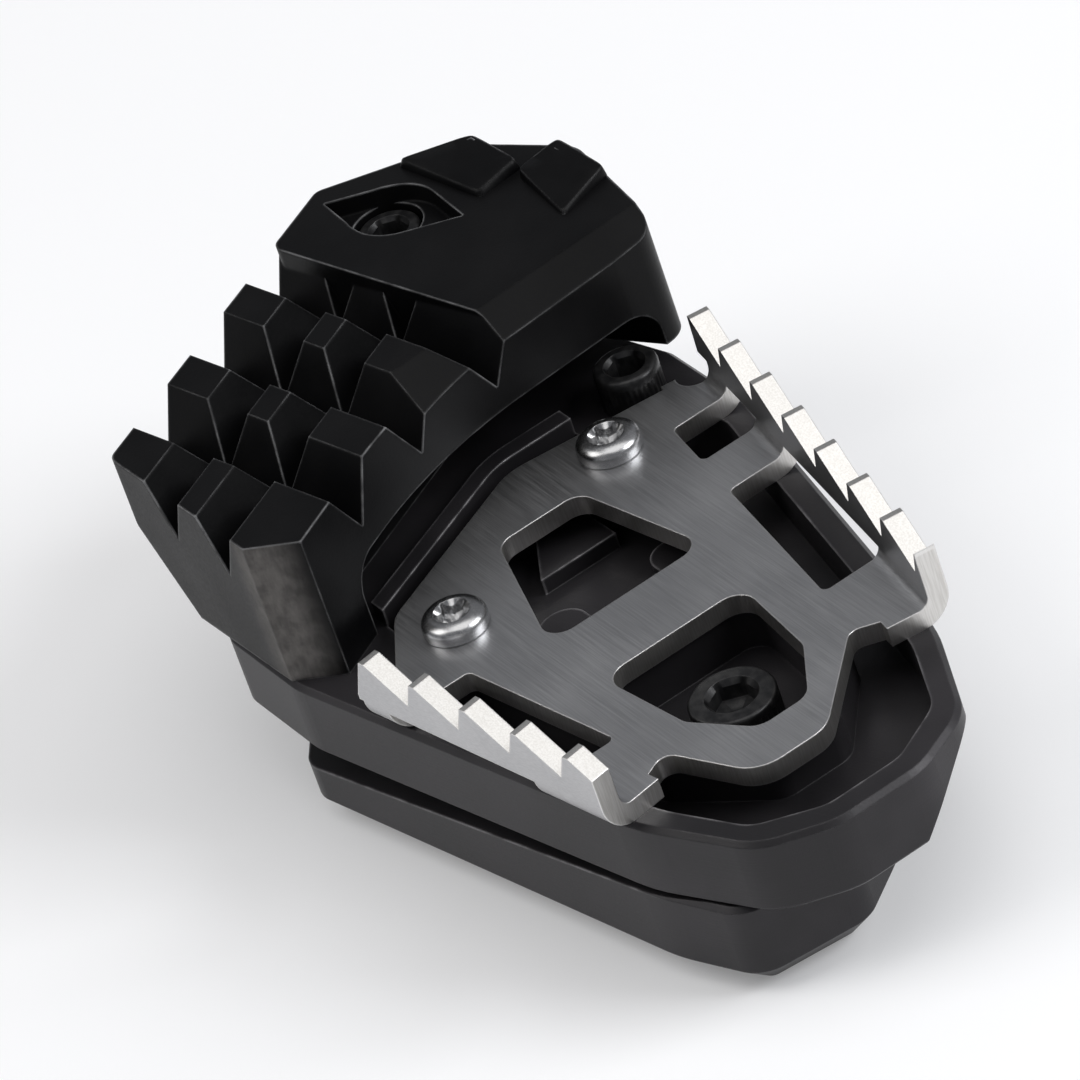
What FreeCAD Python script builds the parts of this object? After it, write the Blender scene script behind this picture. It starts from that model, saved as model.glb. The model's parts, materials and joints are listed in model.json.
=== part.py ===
import FreeCAD, Part
import math
import operator
import os
from types import SimpleNamespace

import Sketcher
from FreeCAD import Vector

# Brake pedal extension: two clamp halves that grip the flat end of a brake pedal, a serrated
# tread plate screwed on the upper half, and the toothed toe pad that sits beside it.
# Millimetres, +Z up. The origin is on the face that the lower half rests on, below the
# middle between the two tread screws. +X points outwards, to the tip, and +Y forwards.

SIZES = {
    # heights of the stack
    "lower_thick": 6.4,
    "slot_height": 5.6,
    "upper_thick": 9.5,
    "sheet_thick": 2.5,
    # outline of the upper half, half widths measured from the long axis
    "side_rear_x": -4.0,
    "side_half": 30.8,
    "shoulder_x": 48.5,
    "shoulder_half": 20.2,
    "shoulder_round": 24.0,
    "nose_x": 62.4,
    "nose_half": 13.8,
    "nose_round": 8.0,
    "tip_x": 66.4,
    "tip_half": 5.6,
    "tip_round": 8.0,
    "nose_bevel_angle": 48.0,
    "nose_bevel_depth": 5.4,
    "nose_bevel_height": 8.0,
    "clamp_corner_round": 4.0,
    "side_round": 12.0,
    "edge_break": 0.6,
    # rear end of the upper half, hidden below the toe pad
    "upper_rear_x": -19.0,
    "deck_x": -52.0,
    "deck_left": 6.0,
    "deck_right": 22.0,
    # outline of the lower half, cut back on the right of the tip
    "lower_corner_x": -9.0,
    "lower_rear_x": -25.0,
    "lower_rear_left": 20.0,
    "lower_rear_right": 31.4,
    "lower_right_x": 44.0,
    "lower_right_half": 13.0,
    "lower_tip_right_x": 55.1,
    "lower_tip_right": 4.2,
    "lower_tip_x": 60.4,
    "lower_tip_left": 3.1,
    "lower_nose_x": 58.8,
    "lower_nose_half": 16.2,
    "lower_round": 4.5,
    "lower_bevel": 3.2,
    "lower_edge": 0.6,
    "slot_front_x": 54.5,
    # trough of the upper half between its rim and the seat of the tread plate
    "rim_width": 3.4,
    "trough_depth": 5.2,
    "trough_left_x": 11.0,
    "trough_right_x": -5.0,
    "island_margin": 0.8,
    "island_front_x": 42.0,
    "island_tip_x": 52.4,
    "island_tip_half": 4.4,
    "trough_round": 3.0,
    # groove and rib behind the tread plate
    "groove_width": 2.6,
    "groove_depth": 3.0,
    "groove_end_y": 15.0,
    "rib_width": 2.4,
    "rib_rise": 2.2,
    # pocket below the large window, with its three lands
    "pocket_depth": 4.5,
    "pocket_margin": 0.8,
    "pocket_round": 3.0,
    "pocket_rear_x": -9.6,
    "pocket_rear_left": -2.6,
    "pocket_rear_right": 10.8,
    "pocket_front_x": 21.0,
    "pocket_front_left": -11.0,
    "pocket_front_right": 14.2,
    "land_height": 2.0,
    "land_rear_x": -7.4,
    "land_front_x": 0.8,
    "land_rear_left": 3.2,
    "land_front_left": -1.4,
    "land_right": 8.9,
    "finger_x": 6.9,
    "finger_width": 5.8,
    "finger_round": 2.8,
    "finger_left_y": -4.2,
    "finger_right_y": 11.0,
    # tread plate outline
    "tread_rear_x": -12.6,
    "tread_rear_y": 4.6,
    "tread_rear_round": 7.0,
    "tread_left_x": -1.4,
    "tread_left_y": -18.2,
    "tread_left_round": 5.0,
    "wing_left_x": 10.0,
    "wing_setback": 1.0,
    "tread_right_x": -9.4,
    "notch_x": 44.0,
    "notch_half": 12.4,
    "notch_round": 1.6,
    "tread_tip_x": 55.4,
    "tread_tip_left": -7.6,
    "tread_tip_right": 1.4,
    "tread_tip_round": 4.5,
    # serrated flanges
    "flange_angle": 9.2,
    "left_overhang": 0.6,
    "right_overhang": 0.8,
    "flange_front_x": 48.4,
    "flange_front_half": 22.9,
    "flange_height": 9.8,
    "bend_inside": 1.4,
    "tooth_pitch": 8.3,
    "tooth_depth": 3.4,
    "tooth_steep": 1.5,
    "tooth_land": 0.8,
    "teeth_left": 5,
    "teeth_right": 7,
    "left_end_slant": 2.6,
    "right_end_slant": 0.6,
    "relief_radius": 2.2,
    # large trapezoid window and D-shaped window
    "window_rear_x": -2.4,
    "window_rear_left": -3.4,
    "window_rear_right": 7.6,
    "window_front_x": 17.4,
    "window_front_left": -9.6,
    "window_front_right": 11.2,
    "window_round": 2.4,
    "eye_rear_x": 27.6,
    "eye_rear_half": 9.4,
    "eye_side_x": 41.6,
    "eye_side_half": 7.9,
    "eye_tip_x": 49.2,
    "eye_tip_half": 3.2,
    "eye_round": 2.6,
    # slots across the bends
    "slot_width": 10.3,
    "slot_rise": 3.6,
    "slot_round": 0.8,
    "left_slot_start": 14.0,
    "left_slot_end": 37.5,
    "right_slot_start": 12.0,
    "right_slot_end": 36.0,
    "short_slot_start": -2.8,
    "short_slot_end": 5.0,
    # tread screws, button head
    "tread_screw_x": 6.0,
    "tread_screw_y": 14.5,
    "tread_screw_size": 4.0,
    "tread_head_width": 7.6,
    "tread_head_height": 2.2,
    "tread_head_rim": 0.8,
    "tread_head_flank": 0.5,
    "tread_head_round": 1.7,
    "tread_key": 2.5,
    "tread_screw_reach": 6.5,
    # clamp screws, socket head
    "front_screw_size": 6.0,
    "front_head_width": 10.0,
    "front_head_height": 4.0,
    "front_key": 5.0,
    "front_screw_x": 36.9,
    "front_screw_y": 0.2,
    "front_seat_depth": 5.6,
    "rear_screw_size": 5.0,
    "rear_head_width": 7.6,
    "rear_head_height": 5.0,
    "rear_key": 4.0,
    "rear_screw_x": -14.6,
    "rear_screw_inset": 7.8,
    "screw_end_gap": 1.5,
    "head_clearance": 0.5,
    "hole_clearance": 0.2,
    # toe pad, in its own axes: x along its length, y across it towards the bike
    "pad_angle": 118.0,
    "pad_base": 12.0,
    "pad_front_x": -24.6,
    "pad_front_y": 18.7,
    "pad_bevel_x": -22.4,
    "pad_bevel_y": 12.4,
    "pad_waist_x": 4.0,
    "pad_waist_y": 13.0,
    "pad_waist_round": 60.0,
    "pad_end_near_x": 30.5,
    "pad_end_near_y": 1.4,
    "pad_end_x": 36.4,
    "pad_end_y": -0.8,
    "pad_end_round": 3.4,
    "pad_crown_near_x": 47.8,
    "pad_crown_near_y": 15.0,
    "pad_crown_far_x": 46.4,
    "pad_crown_far_y": 30.6,
    "pad_crown_round": 5.0,
    "pad_shoulder_x": 36.0,
    "pad_far_y": 43.4,
    "pad_far_front_x": -12.2,
    "pad_corner_round": 1.6,
    "pad_under_y": 34.0,
    "pad_under_height": 13.0,
    # teeth of the pad
    "pyramid_height": 6.6,
    "pyramid_pitch_x": 12.5,
    "pyramid_pitch_y": 9.6,
    "groove_first_x": -14.7,
    "groove_first_y": 24.2,
    "groove_slant_angle": 16.0,
    "pyramid_land_x": 5.0,
    "pyramid_land_y": 3.2,
    "cross_grooves": 3,
    "long_grooves": 2,
    # raised platform of the pad
    "platform_rise": 6.8,
    "step_near_x": 16.8,
    "step_near_y": 7.8,
    "step_far_x": 25.6,
    "facet_angle": 25.0,
    "facet_width": 4.4,
    "facet_drop": 2.0,
    "crown_rise": 1.8,
    "crown_foot": 0.5,
    "crown_near_x": 36.4,
    "crown_near_y": 10.6,
    "crown_end_x": 42.3,
    "crown_end_y": 9.4,
    "crown_out_x": 45.3,
    "crown_out_y": 16.0,
    "crown_in_x": 41.2,
    "crown_in_y": 17.3,
    "far_crown_near_x": 38.4,
    "far_crown_near_y": 22.6,
    "far_crown_end_x": 42.8,
    "far_crown_end_y": 20.8,
    "far_crown_out_x": 45.9,
    "far_crown_out_y": 27.4,
    "far_crown_in_x": 42.2,
    "far_crown_in_y": 31.0,
    "recess_depth": 2.4,
    "recess_near_y": 22.5,
    "recess_far_y": 41.2,
    "recess_half": 5.8,
    "recess_round": 6.0,
    "pad_screw_x": 34.0,
    "pad_screw_y": 33.4,
    "pad_screw_size": 5.0,
    "pad_head_width": 7.4,
    "pad_head_height": 4.0,
    "pad_key": 4.0,
    "pad_seat_depth": 6.8,
    # hollow below the raised end
    "arch_start_x": -15.6,
    "arch_end_x": 33.4,
    "arch_height": 9.0,
    "arch_round": 4.0,
    "arch_back_y": 20.0,
    "end_gap": 3.0,
    "end_gap_y": 22.0,
}

OPERATIONS = {"+": operator.add, "-": operator.sub, "*": operator.mul, "/": operator.truediv}
OVERSHOOT = 2.0  # how far a cut runs past the faces that it opens
ACROSS = 3  # a cut this many times as long as half its body is wide runs right across it
NOSE_SHARE = 0.5  # how much of the rim's width the trough steps in sideways at the nose
TIP_SHARE = 0.25  # and at the tip
SQRT_3 = math.sqrt(3)
SOCKET_SHARE = 0.6  # depth of a hexagon socket, as a share of its head
SIDES = (("left", -1), ("right", 1))


class Dim:
    """A size together with the sheet formula that gives it."""

    def __init__(self, value, text=None):
        self.value = float(value)
        self.text = text or repr(self.value)

    def __add__(self, other):
        return combine(self, "+", other)

    def __radd__(self, other):
        return combine(other, "+", self)

    def __sub__(self, other):
        return combine(self, "-", other)

    def __rsub__(self, other):
        return combine(other, "-", self)

    def __mul__(self, other):
        return combine(self, "*", other)

    def __rmul__(self, other):
        return combine(other, "*", self)

    def __truediv__(self, other):
        return combine(self, "/", other)

    def __neg__(self):
        return combine(-1.0, "*", self)


def as_dim(number):
    return number if isinstance(number, Dim) else Dim(number)


def combine(left, sign, right):
    left = as_dim(left)
    right = as_dim(right)
    value = OPERATIONS[sign](left.value, right.value)
    return Dim(value, f"({left.text} {sign} {right.text})")


def tangent(angle):
    return Dim(math.tan(math.radians(angle.value)), f"tan({angle.text})")


def cosine(angle):
    return Dim(math.cos(math.radians(angle.value)), f"cos({angle.text})")


def sine(angle):
    return Dim(math.sin(math.radians(angle.value)), f"sin({angle.text})")


doc = FreeCAD.newDocument("brake_pedal_extension")
sheet = doc.addObject("Spreadsheet::Sheet", "Sizes")


def fill_sheet():
    """Each size in a row of its own, its name beside it."""
    for row, (alias, number) in enumerate(SIZES.items(), start=1):
        sheet.set(f"A{row}", alias)
        sheet.set(f"B{row}", str(number))
        sheet.setAlias(f"B{row}", alias)
    doc.recompute()
    return SimpleNamespace(**{alias: Dim(number, f"Sizes.{alias}") for alias, number in SIZES.items()})


S = fill_sheet()

SLOT_Z = S.lower_thick
UPPER_Z = SLOT_Z + S.slot_height
SEAT_Z = UPPER_Z + S.upper_thick
TREAD_Z = SEAT_Z + S.sheet_thick
FLANGE_Z = SEAT_Z + S.flange_height


def bind(feature, prop, size):
    """Set a property now and tie it to the sheet."""
    setattr(feature, prop, as_dim(size).value)
    feature.setExpression(prop, as_dim(size).text)


def new_body(label):
    body = doc.addObject("PartDesign::Body", label)
    body.Label = label
    return body


def origin_plane(body, role):
    return next(item for item in body.Origin.OriginFeatures if item.Role == role)


def new_sketch(body, name, plane, base, turn=None):
    """A sketch on an origin plane of its body, moved to a base and turned about its upright."""
    sketch = body.newObject("Sketcher::SketchObject", name)
    sketch.AttachmentSupport = [(origin_plane(body, plane), "")]
    sketch.MapMode = "FlatFace"
    for axis, size in zip("xyz", base):
        sketch.setExpression(f"AttachmentOffset.Base.{axis}", as_dim(size).text)
    if turn is not None:
        sketch.setExpression("AttachmentOffset.Rotation.Pitch", as_dim(turn).text)
    return sketch


def tie_point(sketch, geometry, position, x, y):
    """Hold a point at x, y from the sketch's origin, both bound to the sheet."""
    for kind, axis, size in (("DistanceX", -2, as_dim(x)), ("DistanceY", -1, as_dim(y))):
        if size.value == 0:
            sketch.addConstraint(Sketcher.Constraint("PointOnObject", geometry, position, axis))
            continue
        index = sketch.addConstraint(Sketcher.Constraint(kind, -1, 1, geometry, position, size.value))
        sketch.setExpression(f"Constraints[{index}]", size.text)


def unit(vector):
    return Vector(vector).normalize()


def corner_cut(before, corner, after, radius):
    """Tangent points and centre of an arc that rounds a corner, and whether it turns left."""
    back = unit(before - corner)
    ahead = unit(after - corner)
    half = back.getAngle(ahead) / 2
    reach = radius / math.tan(half)
    centre = corner + unit(back + ahead) * (radius / math.sin(half))
    left_turn = back.cross(ahead).z < 0
    return corner + back * reach, corner + ahead * reach, centre, left_turn


def draw_outline(sketch, corners):
    """A closed outline through corners (x, y) or (x, y, rounding), in order round the shape."""
    points = [Vector(as_dim(c[0]).value, as_dim(c[1]).value, 0) for c in corners]
    radii = [as_dim(c[2]) if len(c) > 2 else None for c in corners]
    count = len(corners)
    starts = list(points)
    ends = list(points)
    arcs = {}
    for i, radius in enumerate(radii):
        if radius is None:
            continue
        following = points[(i + 1) % count]
        first, last, centre, left = corner_cut(points[i - 1], points[i], following, radius.value)
        ends[i] = first
        starts[i] = last
        arcs[i] = (centre, left)
    lines = []
    for i in range(count):
        segment = Part.LineSegment(starts[i], ends[(i + 1) % count])
        lines.append(sketch.addGeometry(segment, False))
    for i, corner in enumerate(corners):
        before = lines[i - 1]
        after = lines[i]
        if radii[i] is None:
            sketch.addConstraint(Sketcher.Constraint("Coincident", before, 2, after, 1))
            tie_point(sketch, after, 1, corner[0], corner[1])
        else:
            round_corner(sketch, before, after, corner, ends[i], starts[i], *arcs[i])


def round_corner(sketch, before, after, corner, first, last, centre, left):
    """An arc tangent to the lines on both sides of a corner that stays tied to the sheet."""
    begin = first if left else last
    finish = last if left else first
    angles = [math.atan2(p.y - centre.y, p.x - centre.x) for p in (begin, finish)]
    circle = Part.Circle(centre, Vector(0, 0, 1), (first - centre).Length)
    arc = sketch.addGeometry(Part.ArcOfCircle(circle, *angles), False)
    sketch.addConstraint(Sketcher.Constraint("Tangent", before, 2, arc, 1 if left else 2))
    sketch.addConstraint(Sketcher.Constraint("Tangent", after, 1, arc, 2 if left else 1))
    radius = as_dim(corner[2])
    index = sketch.addConstraint(Sketcher.Constraint("Radius", arc, radius.value))
    sketch.setExpression(f"Constraints[{index}]", radius.text)
    spot = Vector(as_dim(corner[0]).value, as_dim(corner[1]).value, 0)
    point = sketch.addGeometry(Part.Point(spot), True)
    sketch.addConstraint(Sketcher.Constraint("PointOnObject", point, 1, before))
    sketch.addConstraint(Sketcher.Constraint("PointOnObject", point, 1, after))
    tie_point(sketch, point, 1, corner[0], corner[1])


def draw_circle(sketch, x, y, diameter):
    circle = Part.Circle(Vector(as_dim(x).value, as_dim(y).value, 0), Vector(0, 0, 1), diameter.value / 2)
    index = sketch.addGeometry(circle, False)
    tie_point(sketch, index, 3, x, y)
    radius = diameter / 2
    limit = sketch.addConstraint(Sketcher.Constraint("Radius", index, radius.value))
    sketch.setExpression(f"Constraints[{limit}]", radius.text)


def extrude(body, kind, sketch, name, length, reverse=False):
    """A pad or a pocket, checked to have changed the volume in the right direction."""
    before = body.Shape.Volume if body.Tip else 0.0
    feature = body.newObject(f"PartDesign::{kind}", name)
    feature.Profile = sketch
    feature.Reversed = reverse
    bind(feature, "Length", length)
    doc.recompute()
    change = feature.Shape.Volume - before
    if (change <= 0) == (kind == "Pad"):
        raise RuntimeError(f"{name} changed the volume of {body.Label} by {change:.3f}")
    return feature


def pad(body, name, corners, low, high):
    """A prism between two heights, from an outline seen from above."""
    sketch = new_sketch(body, f"{name}_outline", "XY_Plane", (0, 0, low))
    draw_outline(sketch, corners)
    return extrude(body, "Pad", sketch, name, high - low)


def pocket(body, name, corners, high, low):
    """A prism cut away between two heights, from an outline seen from above."""
    sketch = new_sketch(body, f"{name}_outline", "XY_Plane", (0, 0, high))
    draw_outline(sketch, corners)
    return extrude(body, "Pocket", sketch, name, high - low)


def drill(body, name, x, y, diameter, high, low):
    sketch = new_sketch(body, f"{name}_circle", "XY_Plane", (0, 0, high))
    draw_circle(sketch, x, y, diameter)
    return extrude(body, "Pocket", sketch, name, high - low)


def face_at(feature, height):
    """Name of the largest flat face of a feature at a height."""
    flat = [
        (face.Area, f"Face{index}")
        for index, face in enumerate(feature.Shape.Faces, start=1)
        if face.BoundBox.ZLength < 1e-6 and abs(face.BoundBox.ZMin - height.value) < 1e-6
    ]
    return max(flat)[1]


def dress(body, kind, name, base, items, prop, size):
    """A chamfer or a fillet on named faces or edges of a feature."""
    feature = body.newObject(f"PartDesign::{kind}", name)
    feature.Base = (base, items)
    bind(feature, prop, size)
    doc.recompute()
    return feature


def cut_across(body, name, plane, section, length, base=(0, 0, 0), turn=None):
    """A section cut away to both sides of an upright plane."""
    sketch = new_sketch(body, f"{name}_section", plane, base, turn)
    draw_outline(sketch, section)
    before = body.Shape.Volume
    cut = body.newObject("PartDesign::Pocket", name)
    cut.Profile = sketch
    cut.Midplane = True
    bind(cut, "Length", length)
    doc.recompute()
    if cut.Shape.Volume >= before:
        raise RuntimeError(f"{name} of {body.Label} cut nothing")
    return cut


def clamp_front():
    """Corners of the upper half from its left shoulder round the tip."""
    half = [
        (S.shoulder_x, S.shoulder_half, S.shoulder_round),
        (S.nose_x, S.nose_half, S.nose_round),
        (S.tip_x, S.tip_half, S.tip_round),
    ]
    left = [(x, -y, rounding) for x, y, rounding in half]
    return left + half[::-1]


def side_half_at(x):
    """Half width of the clamp at x, on its straight side."""
    share = (x - S.side_rear_x) / (S.shoulder_x - S.side_rear_x)
    return S.side_half - (S.side_half - S.shoulder_half) * share


def flange_half_at(x):
    """Distance from the long axis to the outer face of a flange at x."""
    return S.flange_front_half + (S.flange_front_x - x) * tangent(S.flange_angle)


def pad_spot(x, y):
    """A place given in the axes of the toe pad, in the axes of the whole part."""
    turn_cos = cosine(S.pad_angle)
    turn_sin = sine(S.pad_angle)
    return x * turn_cos - y * turn_sin, x * turn_sin + y * turn_cos


def lower_clamp():
    """Lower half: bevelled all round below, with a wedge-shaped slot above that closes at the tip."""
    body = new_body("lower_clamp")
    outline = [
        (S.shoulder_x, -S.shoulder_half, S.shoulder_round),
        (S.lower_nose_x, -S.lower_nose_half, S.lower_round),
        (S.lower_tip_x, -S.lower_tip_left, S.lower_round),
        (S.lower_tip_right_x, S.lower_tip_right, S.lower_round),
        (S.lower_right_x, S.lower_right_half, S.shoulder_round),
        (S.lower_rear_x, S.lower_rear_right, S.clamp_corner_round),
        (S.lower_rear_x, -S.lower_rear_left, S.clamp_corner_round),
        (S.lower_corner_x, -S.side_half, S.clamp_corner_round),
    ]
    plate = pad(body, "plate", outline, 0, UPPER_Z)
    bevel = dress(body, "Chamfer", "bevel", plate, [face_at(plate, Dim(0))], "Size", S.lower_bevel)
    dress(body, "Chamfer", "edge", bevel, [face_at(bevel, UPPER_Z)], "Size", S.lower_edge)
    wedge = [
        (S.lower_rear_x - OVERSHOOT, SLOT_Z),
        (S.slot_front_x, UPPER_Z),
        (S.lower_rear_x - OVERSHOOT, UPPER_Z + OVERSHOOT),
    ]
    cut_across(body, "slot", "XZ_Plane", wedge, ACROSS * S.side_half)
    for name, x, y, size in clamp_screw_places():
        drill(body, f"{name}_thread", x, y, size + S.hole_clearance, UPPER_Z, S.screw_end_gap / 2)
    return body


def clamp_screw_places():
    """Name, place and thread size of the two screws that draw the halves together."""
    return (
        ("front", S.front_screw_x, S.front_screw_y, S.front_screw_size),
        ("rear", S.rear_screw_x, S.side_half - S.rear_screw_inset, S.rear_screw_size),
    )


def trough_outline():
    """Channel that runs round the seat of the tread plate, inside the rim."""
    rim = S.rim_width
    left = S.trough_left_x
    right = S.trough_right_x
    seat_edge = S.slot_width + S.island_margin
    outer_half = [
        (S.shoulder_x, S.shoulder_half - rim, S.shoulder_round - rim),
        (S.nose_x - rim, S.nose_half - rim * NOSE_SHARE, S.nose_round - rim),
        (S.tip_x - rim, S.tip_half - rim * TIP_SHARE, S.tip_round - rim),
    ]
    inner_half = [
        (S.island_front_x, flange_half_at(S.island_front_x) - seat_edge, S.trough_round),
        (S.island_tip_x, S.island_tip_half, S.trough_round),
    ]
    outer_left = [(x, -y, rounding) for x, y, rounding in outer_half]
    inner_left = [(x, -y, rounding) for x, y, rounding in inner_half]
    return [
        (left, rim - side_half_at(left), S.trough_round),
        *outer_left,
        *outer_half[::-1],
        (right, side_half_at(right) - rim, S.trough_round),
        (right, flange_half_at(right) - seat_edge, S.trough_round),
        *inner_half,
        *inner_left[::-1],
        (left, seat_edge - flange_half_at(left), S.trough_round),
    ]


def rear_band(near, far):
    """Narrow band that follows the rear edge of the tread plate, between two distances from it."""
    return [
        (S.tread_left_x - near, S.tread_left_y),
        (S.tread_rear_x - near, S.tread_rear_y, S.tread_rear_round + near),
        (S.tread_rear_x - near, S.groove_end_y),
        (S.tread_rear_x - far, S.groove_end_y),
        (S.tread_rear_x - far, S.tread_rear_y, S.tread_rear_round + far),
        (S.tread_left_x - far, S.tread_left_y),
    ]


def eye_outline(margin):
    """D-shaped window over the front clamp screw."""
    half = [
        (S.eye_rear_x - margin, S.eye_rear_half + margin, S.eye_round),
        (S.eye_side_x, S.eye_side_half + margin, S.eye_round),
        (S.eye_tip_x + margin, S.eye_tip_half + margin, S.eye_round),
    ]
    left = [(x, -y, rounding) for x, y, rounding in half]
    return left + half[::-1]


def upper_clamp():
    """Upper half: trough, groove and rib round the seat of the tread plate, pockets, screw holes."""
    body = new_body("upper_clamp")
    rear = [
        (S.side_rear_x, S.side_half, S.side_round),
        (S.upper_rear_x, S.side_half, S.clamp_corner_round),
        (S.deck_x, S.deck_right, S.clamp_corner_round),
        (S.deck_x, S.deck_left, S.clamp_corner_round),
        (S.upper_rear_x, -S.side_half, S.clamp_corner_round),
        (S.side_rear_x, -S.side_half, S.side_round),
    ]
    plate = pad(body, "plate", clamp_front() + rear, UPPER_Z, SEAT_Z)
    ends = [face_at(plate, UPPER_Z), face_at(plate, SEAT_Z)]
    dress(body, "Chamfer", "edge", plate, ends, "Size", S.edge_break)
    above = SEAT_Z + OVERSHOOT
    below = UPPER_Z - OVERSHOOT
    bevel = [
        (-S.nose_bevel_depth, below),
        (0, below),
        (0, UPPER_Z + S.nose_bevel_height),
        (-S.nose_bevel_depth, UPPER_Z),
    ]
    nose = (S.nose_x, 0, -S.nose_half)
    cut_across(body, "nose_bevel", "XZ_Plane", bevel, ACROSS * S.nose_half, nose, S.nose_bevel_angle)
    pocket(body, "trough", trough_outline(), above, SEAT_Z - S.trough_depth)
    groove = rear_band(Dim(0), S.groove_width)
    rib = rear_band(S.groove_width, S.groove_width + S.rib_width)
    pocket(body, "rear_groove", groove, above, SEAT_Z - S.groove_depth)
    pad(body, "rear_rib", rib, SEAT_Z - S.edge_break, SEAT_Z + S.rib_rise)
    window_pocket(body)
    pocket(body, "screw_pocket", eye_outline(S.pocket_margin), above, SEAT_Z - S.front_seat_depth)
    for name, x, y, size in clamp_screw_places():
        drill(body, f"{name}_hole", x, y, size + S.hole_clearance, above, below)
    for name, side in SIDES:
        x = -side * S.tread_screw_x
        y = side * S.tread_screw_y
        drill(body, f"{name}_thread", x, y, S.tread_screw_size + S.hole_clearance, above, below)
    x, y = pad_spot(S.pad_screw_x, S.pad_screw_y)
    drill(body, "pad_thread", x, y, S.pad_screw_size + S.hole_clearance, above, below)
    return body


def window_pocket(body):
    """Pocket below the large window, with a trapezoid land and two rounded fingers standing in it."""
    floor = SEAT_Z - S.pocket_depth
    top = floor + S.land_height
    front = S.pocket_front_x
    corners = [
        (S.pocket_rear_x, S.pocket_rear_left, S.pocket_round),
        (front, S.pocket_front_left, S.pocket_round),
        (front, S.pocket_front_right, S.pocket_round),
        (S.pocket_rear_x, S.pocket_rear_right, S.pocket_round),
    ]
    pocket(body, "window_pocket", corners, SEAT_Z + OVERSHOOT, floor)
    land = [
        (S.land_rear_x, S.land_rear_left),
        (S.land_front_x, S.land_front_left),
        (S.land_front_x, S.land_right),
        (S.land_rear_x, S.land_right),
    ]
    pad(body, "land", land, floor, top)
    half = S.finger_width / 2
    for name, y in (("left_finger", S.finger_left_y), ("right_finger", S.finger_right_y)):
        finger = [
            (S.finger_x, y - half, S.finger_round),
            (front, y - half),
            (front, y + half),
            (S.finger_x, y + half, S.finger_round),
        ]
        pad(body, name, finger, floor, top)


def tread_plate():
    """Bent sheet: flat tread with two windows, and two flanges with a row of teeth each."""
    body = new_body("tread_plate")
    bend = S.bend_inside + S.sheet_thick
    outline = [
        (S.wing_left_x, bend - flange_half_at(S.wing_left_x)),
        (S.flange_front_x - S.wing_setback, bend - flange_half_at(S.flange_front_x)),
        (S.notch_x, -S.notch_half, S.notch_round),
        (S.tread_tip_x, S.tread_tip_left, S.tread_tip_round),
        (S.tread_tip_x, S.tread_tip_right, S.tread_tip_round),
        (S.notch_x, S.notch_half, S.notch_round),
        (S.flange_front_x - S.wing_setback, flange_half_at(S.flange_front_x) - bend),
        (S.tread_right_x, flange_half_at(S.tread_right_x) - bend),
        (S.tread_rear_x, S.tread_rear_y, S.tread_rear_round),
        (S.tread_left_x, S.tread_left_y, S.tread_left_round),
    ]
    pad(body, "sheet", outline, SEAT_Z, TREAD_Z)
    left_start = S.wing_left_x - S.left_overhang
    right_start = S.tread_right_x - S.right_overhang
    flange(body, "left", -1, S.wing_left_x, left_start)
    flange(body, "right", 1, S.tread_right_x, right_start)
    above = TREAD_Z + OVERSHOOT
    below = SEAT_Z - OVERSHOOT
    window = [
        (S.window_rear_x, S.window_rear_left, S.window_round),
        (S.window_front_x, S.window_front_left, S.window_round),
        (S.window_front_x, S.window_front_right, S.window_round),
        (S.window_rear_x, S.window_rear_right, S.window_round),
    ]
    pocket(body, "window", window, above, below)
    pocket(body, "eye", eye_outline(Dim(0)), above, below)
    hole = S.tread_screw_size + 2 * S.hole_clearance
    for name, side in SIDES:
        x = -side * S.tread_screw_x
        y = side * S.tread_screw_y
        drill(body, f"{name}_screw_hole", x, y, hole, above, below)
    relief_y = flange_half_at(S.tread_right_x) - bend
    drill(body, "bend_relief", S.tread_right_x, relief_y, 2 * S.relief_radius, above, below)
    bend_slot(body, "left_slot", -1, S.left_slot_start, S.left_slot_end)
    bend_slot(body, "right_slot", 1, S.right_slot_start, S.right_slot_end)
    bend_slot(body, "short_slot", 1, S.short_slot_start, S.short_slot_end)
    teeth(body, "left", -1, left_start, S.left_end_slant, S.teeth_left)
    teeth(body, "right", 1, right_start, S.right_end_slant, S.teeth_right)
    return body


def flange(body, name, side, bend_start, wall_start):
    """Bent edge of the sheet from bend_start on, with its wall running back to wall_start."""
    bend = S.bend_inside + S.sheet_thick
    along = cosine(S.flange_angle)
    reach = 2 * bend
    section = [
        (0, 0, bend),
        (reach, 0),
        (reach, S.sheet_thick),
        (S.sheet_thick, S.sheet_thick, S.bend_inside),
        (S.sheet_thick, S.flange_height),
        (0, S.flange_height),
    ]
    if side > 0:
        section = [(-x, y, *rounding) for x, y, *rounding in section[::-1]]
    base = (side * flange_half_at(bend_start), SEAT_Z, bend_start)
    sketch = new_sketch(body, f"{name}_bend_section", "YZ_Plane", base, -side * S.flange_angle)
    draw_outline(sketch, section)
    extrude(body, "Pad", sketch, f"{name}_bend", (S.flange_front_x - bend_start) / along)
    wall = [
        (wall_start, side * flange_half_at(wall_start)),
        (bend_start + bend, side * flange_half_at(bend_start + bend)),
        (bend_start + bend, side * (flange_half_at(bend_start + bend) - S.sheet_thick)),
        (wall_start, side * (flange_half_at(wall_start) - S.sheet_thick)),
    ]
    pad(body, f"{name}_wall_end", wall if side < 0 else wall[::-1], SEAT_Z + bend, FLANGE_Z)


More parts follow.
